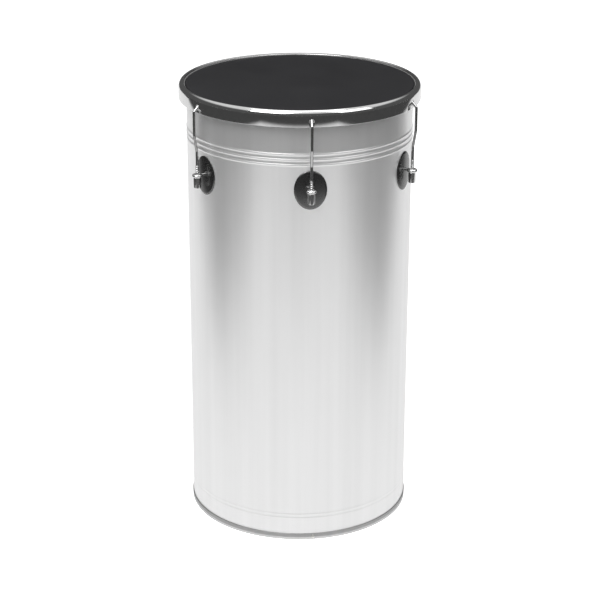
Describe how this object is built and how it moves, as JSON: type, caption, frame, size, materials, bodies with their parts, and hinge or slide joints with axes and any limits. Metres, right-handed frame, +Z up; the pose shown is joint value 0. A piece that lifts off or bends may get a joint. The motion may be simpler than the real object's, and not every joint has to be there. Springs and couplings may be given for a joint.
{
  "type": "tantan hand drum",
  "caption": "Tall cylindrical hand drum with a tensioned head, an aluminium shell and hook-and-eye tuning lugs that draw its counter hoop down.",
  "frame": {"origin": "centre of the drum's base, on the plane it stands on", "axes": "+Z up the drum's axis to the head, -Y out through the first lug"},
  "size_m": [0.374, 0.3938, 0.7029],
  "materials": {
    "shell_aluminium": "satin, rolled sheet",
    "trim_aluminium": "matt",
    "rivet_steel": "plain",
    "napa_skin": "matt black napa",
    "flesh_hoop_aluminium": "matt",
    "hoop_chrome": "chromed steel",
    "plate_chrome": "chromed steel",
    "eye_bolt_chrome": "chromed steel",
    "washer_zinc": "zinc plated",
    "eye_nut_zinc": "zinc plated",
    "hook_chrome": "chromed steel",
    "tuning_nut_chrome": "chromed steel"
  },
  "bodies": {
    "shell": {"shell": "shell_aluminium", "base_ring": "trim_aluminium", "base_rivet": "rivet_steel", "head_membrane": "napa_skin", "lug_plate_1": "plate_chrome", "lug_plate_2": "plate_chrome", "lug_plate_3": "plate_chrome", "lug_plate_4": "plate_chrome", "lug_plate_5": "plate_chrome", "lug_plate_6": "plate_chrome", "eye_bolt_1": "eye_bolt_chrome", "eye_bolt_2": "eye_bolt_chrome", "eye_bolt_3": "eye_bolt_chrome", "eye_bolt_4": "eye_bolt_chrome", "eye_bolt_5": "eye_bolt_chrome", "eye_bolt_6": "eye_bolt_chrome", "eye_washer_1": "washer_zinc", "eye_washer_2": "washer_zinc", "eye_washer_3": "washer_zinc", "eye_washer_4": "washer_zinc", "eye_washer_5": "washer_zinc", "eye_washer_6": "washer_zinc", "eye_nut_1": "eye_nut_zinc", "eye_nut_2": "eye_nut_zinc", "eye_nut_3": "eye_nut_zinc", "eye_nut_4": "eye_nut_zinc", "eye_nut_5": "eye_nut_zinc", "eye_nut_6": "eye_nut_zinc"},
    "hoop": {"counter_hoop": "hoop_chrome", "flesh_hoop": "flesh_hoop_aluminium", "tension_hook_1": "hook_chrome", "tension_hook_2": "hook_chrome", "tension_hook_3": "hook_chrome", "tension_hook_4": "hook_chrome", "tension_hook_5": "hook_chrome", "tension_hook_6": "hook_chrome"},
    "nut_1": {"tuning_nut_1": "tuning_nut_chrome"},
    "nut_2": {"tuning_nut_2": "tuning_nut_chrome"},
    "nut_3": {"tuning_nut_3": "tuning_nut_chrome"},
    "nut_4": {"tuning_nut_4": "tuning_nut_chrome"},
    "nut_5": {"tuning_nut_5": "tuning_nut_chrome"},
    "nut_6": {"tuning_nut_6": "tuning_nut_chrome"}
  },
  "joints": [
    {"name": "hoop_travel", "type": "slide", "parent": "shell", "child": "hoop", "axis": [0, 0, -1], "range_m": [-0.005, 0.006]},
    {"name": "nut_1_turn", "type": "hinge", "parent": "shell", "child": "nut_1", "pos_m": [0, -0.1891, 0.5709], "axis": [0, 0, 1], "range_deg": [-2260, 2710]},
    {"name": "nut_2_turn", "type": "hinge", "parent": "shell", "child": "nut_2", "pos_m": [0.16376, -0.09455, 0.5709], "axis": [0, 0, 1], "range_deg": [-2260, 2710]},
    {"name": "nut_3_turn", "type": "hinge", "parent": "shell", "child": "nut_3", "pos_m": [0.16376, 0.09455, 0.5709], "axis": [0, 0, 1], "range_deg": [-2260, 2710]},
    {"name": "nut_4_turn", "type": "hinge", "parent": "shell", "child": "nut_4", "pos_m": [0, 0.1891, 0.5709], "axis": [0, 0, 1], "range_deg": [-2260, 2710]},
    {"name": "nut_5_turn", "type": "hinge", "parent": "shell", "child": "nut_5", "pos_m": [-0.16376, 0.09455, 0.5709], "axis": [0, 0, 1], "range_deg": [-2260, 2710]},
    {"name": "nut_6_turn", "type": "hinge", "parent": "shell", "child": "nut_6", "pos_m": [-0.16376, -0.09455, 0.5709], "axis": [0, 0, 1], "range_deg": [-2260, 2710]}
  ],
  "couplings": [
    {"joint": "nut_1_turn", "follows": "hoop_travel", "rad_per_m": 7854},
    {"joint": "nut_2_turn", "follows": "hoop_travel", "rad_per_m": 7854},
    {"joint": "nut_3_turn", "follows": "hoop_travel", "rad_per_m": 7854},
    {"joint": "nut_4_turn", "follows": "hoop_travel", "rad_per_m": 7854},
    {"joint": "nut_5_turn", "follows": "hoop_travel", "rad_per_m": 7854},
    {"joint": "nut_6_turn", "follows": "hoop_travel", "rad_per_m": 7854}
  ]
}
